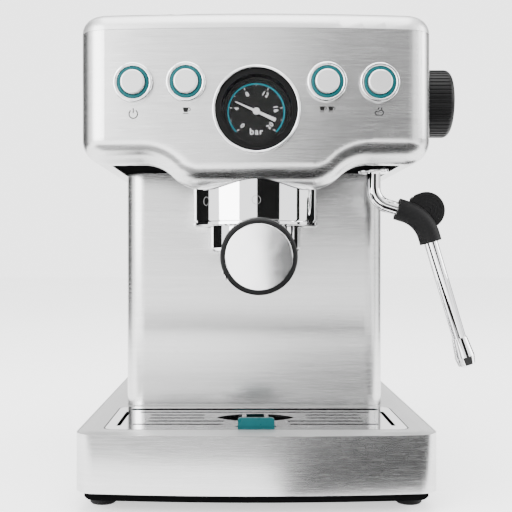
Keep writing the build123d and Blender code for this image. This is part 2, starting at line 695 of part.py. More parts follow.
def control_board():
    edge = BUTTON_OUTER + 12
    y1 = BOARD_Y + 1.6
    board = block(-edge, edge, BOARD_Y, y1, GAUGE_Z - 4, SEAM_Z - 6)
    hole = GAUGE_CASE_RADIUS + 5
    board -= block(-hole, hole, BOARD_Y - 1, y1 + 1, GAUGE_Z - 10, GAUGE_Z + hole)
    for x in (-edge + 10, edge - 22):
        board += block(x, x + 12, y1, y1 + 9, GAUGE_Z + 2, GAUGE_Z + 10)
    return board


# ---- group
def collar_gap(angle, z0, z1):
    """Wedge cutter through the collar ledge where a portafilter ear goes in."""
    reach = COLLAR_BORE
    spread = math.radians(EAR_ANGLE / 2 + 4)
    wedge = Polyline(
        (0, 0),
        (reach * 1.5 * math.cos(spread), -reach * 1.5 * math.sin(spread)),
        (reach * 1.5 * math.cos(spread), reach * 1.5 * math.sin(spread)),
        (0, 0),
    )
    cutter = extrude(make_face(wedge), amount=z1 - z0) & Cylinder(reach, 4 * (z1 - z0))
    return Pos(0, GROUP_Y, z0) * Rot(0, 0, angle) * cutter


def lip_room(behind):
    """Space that the folded-back lower lip of the head takes up, with clearance all round it."""
    lip_back = HEAD_FRONT + HEAD_EDGE + RIM + behind
    reach = block(-HALF, HALF, HEAD_FRONT - 5, lip_back, SKIRT_Z - 5, WING_Z + 5)
    return head_solid(-2 * SEAM, CASING_BACK) & reach


def group_collar():
    lip, drum, groove = COLLAR_RADIUS, COLLAR_RADIUS - 0.4, COLLAR_RADIUS - 1.2
    mouth, top = BOWL_RADIUS + 2, COLLAR_DROP + SHEET
    outline = Polyline(
        (mouth, 0), (lip - 1.4, 0), (lip, 1.0), (lip, 2.6), (lip - 1.0, 3.4), (groove, 3.4),
        (groove, 4.0), (drum, 4.0), (drum, top), (COLLAR_BORE, top), (COLLAR_BORE, COLLAR_LEDGE),
        (mouth, COLLAR_LEDGE), (mouth, 0),
    )
    collar = Pos(0, GROUP_Y, COLLAR_Z) * revolve(Plane.XZ * make_face(outline), axis=Axis.Z)
    for angle in (-TURN_OUT, 180 - TURN_OUT):
        collar -= collar_gap(angle, COLLAR_Z - 1, COLLAR_Z + COLLAR_LEDGE + 1)
    return collar - lip_room(2.0)


def group_body():
    body = rod_z(0, GROUP_Y, COLLAR_BORE - 0.1, FLANGE_Z, FLANGE_Z + FLANGE_THICK)
    body += rod_z(0, GROUP_Y, NECK_RADIUS, FLANGE_Z + FLANGE_THICK, BOILER_Z - 0.1)
    body += rod_z(0, GROUP_Y, NECK_RADIUS, FLANGE_Z - 1.8, FLANGE_Z)
    body -= block(-HALF, HALF, HEAD_FRONT, HEAD_FRONT + HEAD_EDGE + RIM + GAP, SKIRT_Z - 0.6, BOILER_Z)
    return body - rod_z(0, GROUP_Y, 2.6, FLANGE_Z - 3, FLANGE_Z + 8)


def group_gasket():
    ring = rod_z(0, GROUP_Y, BOWL_RADIUS + 3.5, GASKET_Z, FLANGE_Z - 0.1)
    return ring - rod_z(0, GROUP_Y, SCREEN_RADIUS + 0.7, GASKET_Z - 1, FLANGE_Z)


def shower_screen():
    z0 = FLANGE_Z - 3.6
    screen = rod_z(0, GROUP_Y, SCREEN_RADIUS, z0, z0 + 1.6)
    for part_way, count in ((0.34, 8), (0.57, 14), (0.81, 20)):
        for spot in PolarLocations(part_way * SCREEN_RADIUS, count):
            screen -= Pos(0, GROUP_Y, z0 + 0.8) * spot * Cylinder(0.9, 4)
    return screen - rod_z(0, GROUP_Y, 2.6, z0 - 1, z0 + 3)


def screen_screw():
    z0 = FLANGE_Z - 3.7
    head = rod_z(0, GROUP_Y, 4.2, z0 - 1.5, z0)
    slot = block(-5, 5, GROUP_Y - 0.5, GROUP_Y + 0.5, z0 - 1.6, z0 - 0.8)
    return head - slot + rod_z(0, GROUP_Y, 2.5, z0, FLANGE_Z + 7)


# ---- portafilter
def portafilter_bowl():
    bowl = rod_z(0, GROUP_Y, BOWL_RADIUS, BOWL_Z, BOWL_TOP)
    bowl = fillet(bowl.edges().group_by(Axis.Z)[0], 3.5)
    for angle in (0, 180):
        ear = collar_gap(angle, EAR_Z, EAR_Z + 4) & (Pos(0, GROUP_Y, EAR_Z) * Cylinder(EAR_REACH, 20))
        bowl += ear
    bowl += rod_z(0, GROUP_Y, 9, BOWL_Z - 1.5, BOWL_Z + 1)
    bowl -= rod_z(0, GROUP_Y, BASKET_RADIUS + 0.5, BOWL_Z + 4, BOWL_TOP + 1)
    bowl -= rod_z(0, GROUP_Y, BASKET_RADIUS + 1.7, SPRING_Z - 0.8, SPRING_Z + 0.8)
    bowl -= rod_z(0, GROUP_Y, 1.9, BOWL_Z - 3, BOWL_Z + 6)
    return bowl - neck_rod(NECK_ROD_RADIUS + 0.02)


def basket_spring():
    ring = Pos(0, GROUP_Y, SPRING_Z) * Torus(BASKET_RADIUS + 0.8, 0.6)
    return ring - block(-2, 2, GROUP_Y + 20, GROUP_Y + 40, SPRING_Z - 2, SPRING_Z + 2)


def filter_basket():
    cup = rod_z(0, GROUP_Y, BASKET_RADIUS, BOWL_Z + 6.5, RIM_TOP)
    cup = fillet(cup.edges().group_by(Axis.Z)[0], 3.0)
    cup += rod_z(0, GROUP_Y, BOWL_RADIUS - 0.3, BOWL_TOP + 0.05, RIM_TOP)
    hollow = rod_z(0, GROUP_Y, BASKET_RADIUS - BASKET_WALL, BOWL_Z + 6.5 + BASKET_WALL, RIM_TOP + 1)
    return cup - fillet(hollow.edges().group_by(Axis.Z)[0], 2.2)


def portafilter_spout():
    top = BOWL_Z - 1.6
    nut = rod_z(0, GROUP_Y, 10.5, top - 6, top)
    end_radius = NOZZLE_RADIUS + 2
    bridge_half = SPOUT_HALF_WIDTH - end_radius
    outline = Pos(0, GROUP_Y) * SlotOverall(2 * SPOUT_HALF_WIDTH, 2 * end_radius)
    bridge = prism(outline, top - 14, top - 6)
    bridge = fillet(bridge.edges().group_by(Axis.Z)[-1], 2.5)
    spout = nut + bridge
    for x in (-bridge_half, bridge_half):
        spout += rod_z(x, GROUP_Y, NOZZLE_RADIUS, top - 18.5, top - 12)
        spout -= rod_z(x, GROUP_Y, 1.9, top - 19, top - 8)
    spout -= rod_x(GROUP_Y, top - 10, 1.5, -bridge_half, bridge_half)
    return spout - rod_z(0, GROUP_Y, 1.9, top - 10.5, top + 1)


def handle_frame():
    """Frame at the front of the bowl with its Z along the handle, outwards."""
    tilt = math.radians(HANDLE_TILT)
    start = (0, GROUP_Y - BOWL_RADIUS, BOWL_Z + NECK_ABOVE_FLOOR)
    return Plane(origin=start, x_dir=(1, 0, 0), z_dir=(0, -math.cos(tilt), -math.sin(tilt)))


def neck_rod(radius):
    length = 38.0
    return handle_frame() * Pos(0, 0, length / 2 - 2.0) * Cylinder(radius, length)


def handle_neck():
    rod = neck_rod(NECK_ROD_RADIUS)
    return rod + handle_frame() * Pos(0, 0, GRIP_START - 2.1) * Cylinder(9.0, 4.0)


def handle_grip():
    """Grip turned to a waisted outline that flares to its end."""
    end = GRIP_START + HANDLE_LENGTH
    wall = Spline((11.0, GRIP_START), (13.2, GRIP_START + 14), (13.6, GRIP_START + 40),
                  (HANDLE_END_RADIUS, end - 8), tangents=((0.6, 1), (0.35, 1)))
    edges = [
        Line((0, GRIP_START), (11.0, GRIP_START)),
        wall,
        Line((HANDLE_END_RADIUS, end - 8), (HANDLE_END_RADIUS, end - 1)),
        Line((HANDLE_END_RADIUS, end - 1), (HANDLE_END_RADIUS - 1, end)),
        Line((HANDLE_END_RADIUS - 1, end), (0, end)),
        Line((0, end), (0, GRIP_START)),
    ]
    profile = Plane.XZ * make_face(Wire.combine(edges)[0])
    grip = revolve(profile, axis=Axis.Z)
    grip -= Pos(0, 0, GRIP_START + 8) * Cylinder(NECK_ROD_RADIUS + 0.02, 20.0)
    grip -= Pos(0, 0, end) * Cylinder(END_CAP_RADIUS + 0.1, 2.4)
    return handle_frame() * grip


def handle_end_cap():
    end = GRIP_START + HANDLE_LENGTH
    cap = Pos(0, 0, end - 0.25) * Cylinder(END_CAP_RADIUS, 1.7)
    cap = fillet(cap.edges().group_by(Axis.Z)[-1], 0.5)
    return handle_frame() * cap


# ---- inside the casing
def boiler():
    body = block(-BOILER_HALF, BOILER_HALF, BOILER_FRONT, BOILER_BACK, BOILER_Z, BOILER_TOP)
    body = fillet(body.edges().filter_by(Axis.Z), 8)
    body += rod_z(0, (BOILER_FRONT + BOILER_BACK) / 2, 26, BOILER_TOP, BOILER_TOP + 6)
    return body


def pump():
    body = block(PUMP_X - 22, PUMP_X + 22, PUMP_Y - 20, PUMP_Y + 20, BASE_TOP + 20, BASE_TOP + 82)
    body = fillet(body.edges().filter_by(Axis.Z), 4)
    body += rod_z(PUMP_X, PUMP_Y, 9, BASE_TOP + 82, BASE_TOP + 98)
    return body + rod_z(PUMP_X, PUMP_Y, 4, BASE_TOP + 10, BASE_TOP + 20)


def pump_mounts():
    mounts = []
    for x in (PUMP_X - 16, PUMP_X + 16):
        mounts.append(rod_z(x, PUMP_Y, 6, BASE_TOP + SEAM + 2.1, BASE_TOP + 19.9))
    return Compound(children=mounts)


def pressure_hose():
    z0 = BASE_TOP + 98.1
    z1 = BOILER_Z + 22
    points = ((PUMP_X, PUMP_Y, z0), (PUMP_X, PUMP_Y, z1), (PUMP_X, BOILER_BACK + 0.1, z1))
    return tube(points, (14,), 3.0)


def water_hose():
    z_low = BAND_BOTTOM + 12
    z_seat = FRAME_BOTTOM - SEAM - 14.1
    points = (
        (VALVE_X, VALVE_Y, z_seat),
        (VALVE_X, VALVE_Y, z_low),
        (PUMP_X, PUMP_Y, z_low),
        (PUMP_X, PUMP_Y, BASE_TOP + 9.9),
    )
    return tube(points, (8, 12), 4.0)


def steam_valve():
    body = rod_x(KNOB_Y, KNOB_Z, 11, HALF - 36, HALF - 8)
    return body - rod_x(KNOB_Y, KNOB_Z, SPINDLE_RADIUS + RUNNING, HALF - 26, HALF)


def steam_pipe():
    x = HALF - 30
    z_pipe = WING_Z + 26
    points = (
        (x, KNOB_Y, KNOB_Z - 11.1),
        (x, KNOB_Y, z_pipe),
        (WAND_X, WAND_Y, z_pipe),
        (WAND_X, WAND_Y, SOCKET_TOP + 0.1),
    )
    return tube(points, (4, 4), 2.5)


# ---- steam knob
def steam_knob():
    x0 = HALF + 0.5
    knob = rod_x(KNOB_Y, KNOB_Z, KNOB_RADIUS, x0, x0 + KNOB_DEPTH)
    knob = fillet(knob.edges().group_by(Axis.X)[-1], 5.0)
    for n in range(KNOB_FLUTES):
        angle = 2 * math.pi * n / KNOB_FLUTES
        y = KNOB_Y + (KNOB_RADIUS + 0.35) * math.cos(angle)
        z = KNOB_Z + (KNOB_RADIUS + 0.35) * math.sin(angle)
        knob -= rod_x(y, z, 0.9, x0 + 2, x0 + KNOB_DEPTH + 1)
    return knob - rod_x(KNOB_Y, KNOB_Z, SPINDLE_RADIUS + 0.02, x0 - 1, x0 + 14)


def steam_spindle():
    return rod_x(KNOB_Y, KNOB_Z, SPINDLE_RADIUS, HALF - 25, HALF + 14)


# ---- steam wand
def wand_path():
    """Corner points of the wand in its own plane: down, out over the side, then steeply down to the tip."""
    knee_z = WING_Z - 23.4
    elbow = (WAND_X + 36.25, WAND_Y, WING_Z - 34.5)
    return ((WAND_X, WAND_Y, SOCKET_TOP - 3), (WAND_X, WAND_Y, knee_z), elbow, WAND_TIP)


def point_between(a, b, distance):
    """Point at a distance from a, on the way to b."""
    start = Vector(*a)
    return start + (Vector(*b) - start).normalized() * distance


def wand_collar():
    socket = rod_z(WAND_X, WAND_Y, SOCKET_RADIUS, WING_Z - 3, SOCKET_TOP)
    flange = rod_z(WAND_X, WAND_Y, SOCKET_RADIUS + 3, WING_Z - 3, PANEL_Z - SEAM / 2)
    flange = fillet(flange.edges().group_by(Axis.Z)[0], 1.5)
    return socket + flange - rod_z(WAND_X, WAND_Y, WAND_RADIUS + RUNNING, WING_Z - 5, SOCKET_TOP - 2)


def steam_wand_tube():
    outer = tube(wand_path(), (KNEE_BEND, ELBOW_BEND), WAND_RADIUS)
    return outer - tube(wand_path(), (KNEE_BEND, ELBOW_BEND), WAND_BORE_RADIUS)


def wand_grip_sleeve():
    """Rubber sleeve over the elbow with a ribbed finger disc behind it."""
    top, knee, elbow, tip = wand_path()
    start = point_between(elbow, knee, 20.0)
    stop = point_between(elbow, tip, 19.0)
    path = (start, elbow, stop)
    sleeve = tube(path, (ELBOW_BEND,), SLEEVE_RADIUS)
    disc_x, disc_z = elbow[0] + 2.2, elbow[2] + 4.8
    disc = rod_y(disc_x, disc_z, FINGER_DISC_RADIUS, WAND_Y, WAND_Y + 11)
    for n in range(20):
        angle = 2 * math.pi * n / 20
        x = disc_x + (FINGER_DISC_RADIUS + 0.4) * math.cos(angle)
        z = disc_z + (FINGER_DISC_RADIUS + 0.4) * math.sin(angle)
        disc -= rod_y(x, z, 1.1, WAND_Y + 1, WAND_Y + 12)
    whole = sleeve + disc
    return whole - tube(wand_path(), (KNEE_BEND, ELBOW_BEND), WAND_RADIUS + 0.02)


def wand_tip():
    """Flared nozzle over the end of the tube."""
    tip = Vector(*WAND_TIP)
    elbow = Vector(*wand_path()[2])
    along = (tip - elbow).normalized()
    frame = Plane(origin=tip - along * 18.0, x_dir=(0, 1, 0), z_dir=along)
    outline = Polyline((0, 0), (5.7, 0), (7.3, 14), (6.2, 20), (3.5, 22), (0, 22), (0, 0))
    nozzle = revolve(Plane.XZ * make_face(outline), axis=Axis.Z)
    for n in range(4):
        angle = math.radians(45 + 90 * n)
        hole = Pos(3 * math.cos(angle), 3 * math.sin(angle), 20) * Cylinder(0.7, 8)
        nozzle -= hole
    return frame * (nozzle - Pos(0, 0, 9) * Cylinder(WAND_RADIUS + 0.02, 18.3))


# ---- water tank
def water_tank():
    tank = rounded_box(-TANK_HALF, TANK_HALF, TANK_FRONT, TANK_BACK, TANK_Z, TANK_TOP, 9)
    tank = fillet(tank.edges().group_by(Axis.Z)[0], 3)
    tank += rod_z(VALVE_X, VALVE_Y, VALVE_RADIUS, FRAME_BOTTOM - 6, TANK_Z + 2)
    in_half = TANK_HALF - TANK_WALL
    front, back = TANK_FRONT + TANK_WALL, TANK_BACK - TANK_WALL
    hollow = rounded_box(-in_half, in_half, front, back, TANK_Z + TANK_WALL, TANK_TOP + 1, 9 - TANK_WALL)
    tank -= fillet(hollow.edges().group_by(Axis.Z)[0], 2)
    for side in (-1, 1):
        x0, x1 = sorted((side * 30, side * 50))
        tank += rod_x(HINGE_Y, HINGE_Z, KNUCKLE_RADIUS, x0, x1)
        tank += block(x0, x1, TANK_BACK - 0.5, HINGE_Y + KNUCKLE_RADIUS, TANK_TOP - 6, TANK_TOP)
    return tank - rod_x(HINGE_Y, HINGE_Z, HINGE_PIN_RADIUS + 0.02, -60, 60)


def tank_hinge_pin():
    return rod_x(HINGE_Y, HINGE_Z, HINGE_PIN_RADIUS, -49.5, 49.5)


def tank_lid():
    z0 = TANK_TOP + GAP
    lid = rounded_box(-TANK_HALF, TANK_HALF, TANK_FRONT, TANK_BACK - 0.2, z0, z0 + LID_THICK, 9)
    lid = fillet(lid.edges().group_by(Axis.Z)[-1], 1.2)
    lid += block(-29.5, 29.5, TANK_BACK - 2, HINGE_Y, HINGE_Z - 0.6, HINGE_Z + 2)
    lid += rod_x(HINGE_Y, HINGE_Z, KNUCKLE_RADIUS, -29.5, 29.5)
    lid += rounded_box(-26, 26, TANK_FRONT + 5, TANK_FRONT + 13, z0 + LID_THICK - 0.5, z0 + LID_THICK + 3, 3)
    return lid - rod_x(HINGE_Y, HINGE_Z, HINGE_PIN_RADIUS + RUNNING, -40, 40)


# ---- write every sub-part
PIECES = (
    rubber_feet, base_pan, base_screws, base_band, cord_gland, base_top_frame, tank_valve_seat,
    drip_tray, drip_grate, level_float, column_wrap, inner_chassis, back_panel, back_panel_screws,
    head_shell, underside_panel, top_cover, cup_warmer_plate,
    gauge_bezel, gauge_case, gauge_dial, gauge_lens, gauge_movement, gauge_needle,
    button_bezels, button_light_rings, button_switches, control_board,
    group_collar, group_body, group_gasket, shower_screen, screen_screw,
    portafilter_bowl, basket_spring, filter_basket, portafilter_spout,
    handle_neck, handle_grip, handle_end_cap,
    boiler, pump, pump_mounts, pressure_hose, water_hose, steam_valve, steam_pipe,
    steam_knob, steam_spindle, wand_collar, steam_wand_tube, wand_grip_sleeve, wand_tip,
    water_tank, tank_hinge_pin, tank_lid,
)
for piece in PIECES:
    save(piece(), piece.__name__)

BUTTON_NAMES = ("power_button", "single_cup_button", "double_cup_button", "steam_button")
for name, place in zip(BUTTON_NAMES, button_places()):
    save(button_cap(place), name)
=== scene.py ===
import json
import math

import bmesh
import bpy
from bpy.props import FloatProperty, FloatVectorProperty, IntProperty, PointerProperty
from mathutils import Matrix, Vector


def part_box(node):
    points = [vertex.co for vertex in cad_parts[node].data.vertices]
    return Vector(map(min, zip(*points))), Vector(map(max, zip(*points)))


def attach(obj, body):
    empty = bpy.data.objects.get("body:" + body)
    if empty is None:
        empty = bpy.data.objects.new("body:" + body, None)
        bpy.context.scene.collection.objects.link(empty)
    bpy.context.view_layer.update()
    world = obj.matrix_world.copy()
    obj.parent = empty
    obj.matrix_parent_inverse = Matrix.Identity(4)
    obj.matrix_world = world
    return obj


bl_info = {
    "name": "Espresso machine finish",
    "version": (1, 0, 0),
    "blender": (4, 5, 0),
    "location": "View3D > Sidebar > Espresso",
    "description": "Finishes, dial, icons and small trim of an espresso machine, with its studio",
    "category": "Object",
}

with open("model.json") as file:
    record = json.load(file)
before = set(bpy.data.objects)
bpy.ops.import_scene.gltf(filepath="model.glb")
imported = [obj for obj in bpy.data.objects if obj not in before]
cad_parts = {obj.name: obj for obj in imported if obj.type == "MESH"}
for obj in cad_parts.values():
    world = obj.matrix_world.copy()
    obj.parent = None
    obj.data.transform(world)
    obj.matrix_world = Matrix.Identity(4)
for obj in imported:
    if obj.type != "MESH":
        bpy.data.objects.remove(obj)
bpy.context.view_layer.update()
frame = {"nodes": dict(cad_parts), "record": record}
NODES = frame["nodes"]
MM = 0.001


# ---- places read from the frame
def centre(node):
    """Middle of a CAD node's box."""
    low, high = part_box(node)
    return (Vector(low) + Vector(high)) / 2


HEAD_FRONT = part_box("head_shell")[0][1]
DIAL_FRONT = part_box("gauge_dial")[0][1]
GAUGE = centre("gauge_bezel")
COLLAR = centre("group_collar")
COLLAR_LOW, COLLAR_HIGH = (Vector(corner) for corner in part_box("group_collar"))

# ---- printed and engraved trim
DIAL_PRINT = 0.12 * MM      # thickness of the print on the dial
ICON_PRINT = 0.1 * MM       # thickness of the print on the fascia
TICK_LINE = 0.3 * MM
TICK_START = 0.8 * MM       # from the middle of the arc inwards
LONG_TICK = 1.6 * MM
SHORT_TICK = 0.9 * MM
FIGURE_INSET = 5.7 * MM     # from the arc to the middle of a figure
UNIT_BELOW = 13.4 * MM      # from the gauge centre down to the unit
UNIT_SCALE = 1.4            # height of the unit over that of the figures
LETTER_SPACE = 1.15
MARK_RADIUS = 2.9 * MM      # ring marks on the collar
MARK_LINE = 0.28 * MM
MARK_DEPTH = 0.25 * MM
MARK_SUNK = 0.52 * MM       # back of a mark inside the widest radius of the collar
MARK_ABOVE_EDGE = 17 * MM   # from the lower edge of the collar
MARK_ANGLES = (0.0, -50.0)  # where the portafilter locks and where it comes out, in degrees
SLEEVE_RADIUS = 8.0 * MM    # the sleeve stands this far in front of the finger disc


# ---- shader helpers
class Value:
    """A number that varies over a surface: Python arithmetic on it adds Math nodes."""

    def __init__(self, shader, socket):
        self.shader = shader
        self.socket = socket

    def math(self, operation, *others):
        inputs = {0: self}
        for place, other in enumerate(others, start=1):
            inputs[place] = other
        return self.shader.node("ShaderNodeMath", {"operation": operation}, inputs)[0]

    def __add__(self, other):
        return self.math("ADD", other)

    def __mul__(self, other):
        return self.math("MULTIPLY", other)

    def __sub__(self, other):
        return self.math("SUBTRACT", other)

    def __rsub__(self, other):
        return self.math("MULTIPLY", -1.0) + other

    __radd__ = __add__
    __rmul__ = __mul__

    def clamp(self):
        return self.shader.node("ShaderNodeClamp", {}, {0: self})[0]


class Outputs:
    """The output sockets of one node, by place or name."""

    def __init__(self, shader, node):
        self.shader = shader
        self.node = node

    def __getitem__(self, key):
        return Value(self.shader, self.node.outputs[key])


class Shader:
    """One material and the nodes in it."""

    def __init__(self, name):
        self.material = bpy.data.materials.get(name) or bpy.data.materials.new(name)
        self.material.use_nodes = True
        self.tree = self.material.node_tree
        self.tree.nodes.clear()
        self.surface = self.tree.nodes.new("ShaderNodeBsdfPrincipled")
        output = self.tree.nodes.new("ShaderNodeOutputMaterial")
        self.tree.links.new(self.surface.outputs[0], output.inputs[0])

    def feed(self, socket, value):
        """Link a value to a socket, or set the socket to a constant."""
        if isinstance(value, Value):
            self.tree.links.new(value.socket, socket)
        else:
            socket.default_value = value

    def node(self, kind, settings, inputs):
        """Add a node of a kind, with its settings, then its sockets by place or name."""
        made = self.tree.nodes.new(kind)
        for name, value in settings.items():
            if name == "stops":
                self.set_stops(made.color_ramp, value)
            else:
                setattr(made, name, value)
        for key, value in inputs.items():
            self.feed(made.inputs[key], value)
        return Outputs(self, made)

    def set_stops(self, ramp, stops):
        """Stops of a colour ramp as (place, grey) pairs."""
        while len(ramp.elements) > 1:
            ramp.elements.remove(ramp.elements[-1])
        for number, (place, grey) in enumerate(stops):
            element = ramp.elements[0] if number == 0 else ramp.elements.new(place)
            element.position = place
            element.color = (grey, grey, grey, 1.0)

    def object_place(self, scale=(1.0, 1.0, 1.0), turn=(0.0, 0.0, 0.0)):
        """Object coordinates, stretched and turned."""
        place = self.node("ShaderNodeTexCoord", {}, {})["Object"]
        settings = {"vector_type": "POINT"}
        return self.node("ShaderNodeMapping", settings, {0: place, "Rotation": turn, "Scale": scale})[0]

    def noise(self, scale, detail=3.0, rough=0.5, stretch=(1.0, 1.0, 1.0)):
        """Noise at a scale per metre, stretched along the axes."""
        place = self.object_place(stretch)
        inputs = {"Vector": place, "Scale": scale, "Detail": detail, "Roughness": rough}
        return self.node("ShaderNodeTexNoise", {}, inputs)["Fac"]

    def mix(self, factor, first, second):
        """Colour between two colours."""
        inputs = {0: factor, 6: first, 7: second}
        return self.node("ShaderNodeMix", {"data_type": "RGBA"}, inputs)[2]

    def bump(self, height, strength, distance):
        """Normal from a height."""
        inputs = {"Height": height, "Strength": strength, "Distance": distance}
        return self.node("ShaderNodeBump", {}, inputs)[0]

    def set(self, **sockets):
        """Set or link sockets of the surface shader: words joined by _ name them."""
        for word, value in sockets.items():
            name = word.replace("_", " ").title().replace("Ior", "IOR")
            self.feed(self.surface.inputs[name], value)
        return self


def rgb(colour, factor=1.0):
    """Four-part colour from three parts, made lighter or darker."""
    return (colour[0] * factor, colour[1] * factor, colour[2] * factor, 1.0)


# ---- materials, one function each
def brushed_steel(look):
    """Steel sheet brushed level along the machine, with faint handling marks."""
    shader = Shader("brushed_steel")
    grain = shader.noise(1.0, 4.0, 0.65, (60.0, 60.0, look.brush_lines))
    streaks = shader.noise(1.0, 3.0, 0.6, (5.0, 5.0, look.brush_lines * 0.22))
    clouds = shader.noise(9.0, 2.0)
    tone = (grain - 0.5) * look.brush_contrast + (streaks - 0.5) * look.brush_contrast * 0.6 + 0.5
    steel = shader.mix(tone.clamp(), rgb(look.steel, 0.72), rgb(look.steel, 1.12))
    roughness = 0.25 + (grain - 0.5) * 0.16 + (clouds - 0.5) * 0.06
    height = grain * 0.6 + streaks * 0.4
    return shader.set(
        base_color=steel, metallic=1.0, roughness=roughness, anisotropic=0.55,
        normal=shader.bump(height, 0.16, 0.00012),
    ).material


def satin_silver(look):
    """Fine blasted silver of the top cover and the base frame."""
    shader = Shader("satin_silver")
    fine = shader.noise(2600.0, 2.0)
    clouds = shader.noise(11.0, 2.0)
    tone = shader.mix(clouds, rgb(look.silver, 0.96), rgb(look.silver, 1.03))
    return shader.set(
        base_color=tone, metallic=0.85, roughness=0.36 + (fine - 0.5) * 0.08,
        normal=shader.bump(fine, 0.06, 0.00005),
    ).material


def chrome(look):
    """Bright plating with very faint polishing waves."""
    shader = Shader("chrome")
    waves = shader.noise(38.0, 2.0)
    wipe = shader.noise(160.0, 4.0, 0.6)
    tone = shader.mix(wipe, rgb(look.chrome, 0.97), rgb(look.chrome, 1.0))
    return shader.set(
        base_color=tone, metallic=1.0, roughness=0.035 + (wipe - 0.4).clamp() * 0.05,
        normal=shader.bump(waves, 0.02, 0.0004),
    ).material


def polished_steel(look):
    """Mirror-polished sheet with fine circular wipe marks."""
    shader = Shader("polished_steel")
    wipe = shader.noise(90.0, 5.0, 0.65)
    fine = shader.noise(900.0, 2.0)
    tone = shader.mix(wipe, rgb(look.chrome, 0.90), rgb(look.chrome, 0.98))
    return shader.set(
        base_color=tone, metallic=1.0, roughness=0.09 + (wipe - 0.35).clamp() * 0.12,
        normal=shader.bump(fine, 0.03, 0.00003),
    ).material


def dark_plastic(name, colour, roughness, grain):
    """Moulded plastic with a fine spark-eroded texture."""
    shader = Shader(name)
    fine = shader.noise(grain, 3.0, 0.6)
    dust = shader.noise(55.0, 4.0, 0.6)
    tone = shader.mix(dust, rgb(colour, 0.8), rgb(colour, 1.35))
    return shader.set(
        base_color=tone, roughness=roughness + (fine - 0.5) * 0.14, specular_ior_level=0.13,
        normal=shader.bump(fine, 0.22, 0.00009),
    ).material


def black_plastic(look):
    return dark_plastic("black_plastic", look.black, 0.36, 1700.0)


def matt_black(look):
    """Deep matt black of the mouldings that are seen edge-on from below."""
    shader = Shader("matt_black")
    fine = shader.noise(1300.0, 3.0, 0.6)
    tone = shader.mix(fine, rgb(look.black, 0.5), rgb(look.black, 1.0))
    return shader.set(
        base_color=tone, roughness=0.85 + (fine - 0.5) * 0.1, specular_ior_level=0.0,
        normal=shader.bump(fine, 0.15, 0.00008),
    ).material


def gloss_black(look):
    """Gloss black gauge housing and dial."""
    shader = Shader("gloss_black")
    wave = shader.noise(60.0, 3.0)
    tone = shader.mix(wave, rgb(look.black, 0.5), rgb(look.black, 0.8))
    return shader.set(
        base_color=tone, roughness=0.30 + wave * 0.06, specular_ior_level=0.12,
        normal=shader.bump(wave, 0.02, 0.0001),
    ).material


def teal_plastic(look):
    """Clear-tinted plastic of the light rings and the float."""
    shader = Shader("teal_plastic")
    swirl = shader.noise(120.0, 3.0)
    tone = shader.mix(swirl, rgb(look.teal, 0.85), rgb(look.teal, 1.15))
    return shader.set(
        base_color=tone, roughness=0.24 + swirl * 0.08, specular_ior_level=0.22,
        normal=shader.bump(swirl, 0.03, 0.0001),
    ).material


def silver_cap(look):
    """Satin silver lacquer on the button caps and the needle."""
    shader = Shader("silver_cap")
    fleck = shader.noise(3200.0, 2.0)
    tone = shader.mix(fleck, rgb(look.silver, 0.93), rgb(look.silver, 1.04))
    return shader.set(
        base_color=tone, metallic=0.7, roughness=0.30 + (fleck - 0.5) * 0.1,
        normal=shader.bump(fleck, 0.05, 0.00004),
    ).material


def rubber(look):
    return dark_plastic("rubber", look.rubber, 0.55, 900.0)


def brass(look):
    """Machined brass with fine turning marks."""
    shader = Shader("brass")
    turning = shader.noise(1.0, 3.0, 0.6, (30.0, 30.0, 1400.0))
    stain = shader.noise(30.0, 4.0)
    dull = (0.55, 0.38, 0.14)
    bright = (0.78, 0.60, 0.28)
    tone = shader.mix(stain, rgb(dull), rgb(bright))
    return shader.set(
        base_color=tone, metallic=1.0, roughness=0.26 + turning * 0.12,
        normal=shader.bump(turning, 0.1, 0.0001),
    ).material


def cast_aluminium(look):
    """Sand-cast boiler body."""
    shader = Shader("aluminium")
    sand = shader.noise(650.0, 5.0, 0.7)
    stain = shader.noise(24.0, 3.0)
    dull = (0.52, 0.52, 0.53)
    bright = (0.70, 0.70, 0.71)
    tone = shader.mix(stain, rgb(dull), rgb(bright))
    return shader.set(
        base_color=tone, metallic=1.0, roughness=0.48 + (sand - 0.5) * 0.2,
        normal=shader.bump(sand, 0.35, 0.0003),
    ).material


def clear_glass(look):
    """Flat gauge glass: almost clear, with a gloss of its own."""
    shader = Shader("glass")
    smear = shader.noise(70.0, 4.0)
    shader.material.surface_render_method = "BLENDED"
    return shader.set(
        base_color=(0.02, 0.02, 0.02, 1.0), roughness=0.03 + (smear - 0.4).clamp() * 0.05,
        alpha=0.05 + smear * 0.03, specular_ior_level=0.4,
    ).material


def smoked_plastic(look):
    """Tinted see-through tank wall with faint moulding flow."""
    shader = Shader("smoked_plastic")
    flow = shader.noise(1.0, 3.0, 0.5, (6.0, 6.0, 22.0))
    fine = shader.noise(1400.0, 2.0)
    tone = shader.mix(flow, rgb(look.smoke, 0.85), rgb(look.smoke, 1.2))
    shader.material.surface_render_method = "BLENDED"
    return shader.set(
        base_color=tone, roughness=0.16 + (fine - 0.5) * 0.06, alpha=0.62 + (flow - 0.5) * 0.1,
        normal=shader.bump(fine, 0.04, 0.00005),
    ).material


def solder_mask(look):
    """Green circuit board with a faint weave."""
    shader = Shader("board")
    place = shader.object_place()
    weave = shader.node("ShaderNodeTexWave", {}, {"Vector": place, "Scale": 900.0})["Fac"]
    dark = (0.01, 0.09, 0.04)
    light = (0.02, 0.14, 0.06)
    tone = shader.mix(weave, rgb(dark), rgb(light))
    return shader.set(
        base_color=tone, roughness=0.32 + weave * 0.08, normal=shader.bump(weave, 0.1, 0.00005),
    ).material


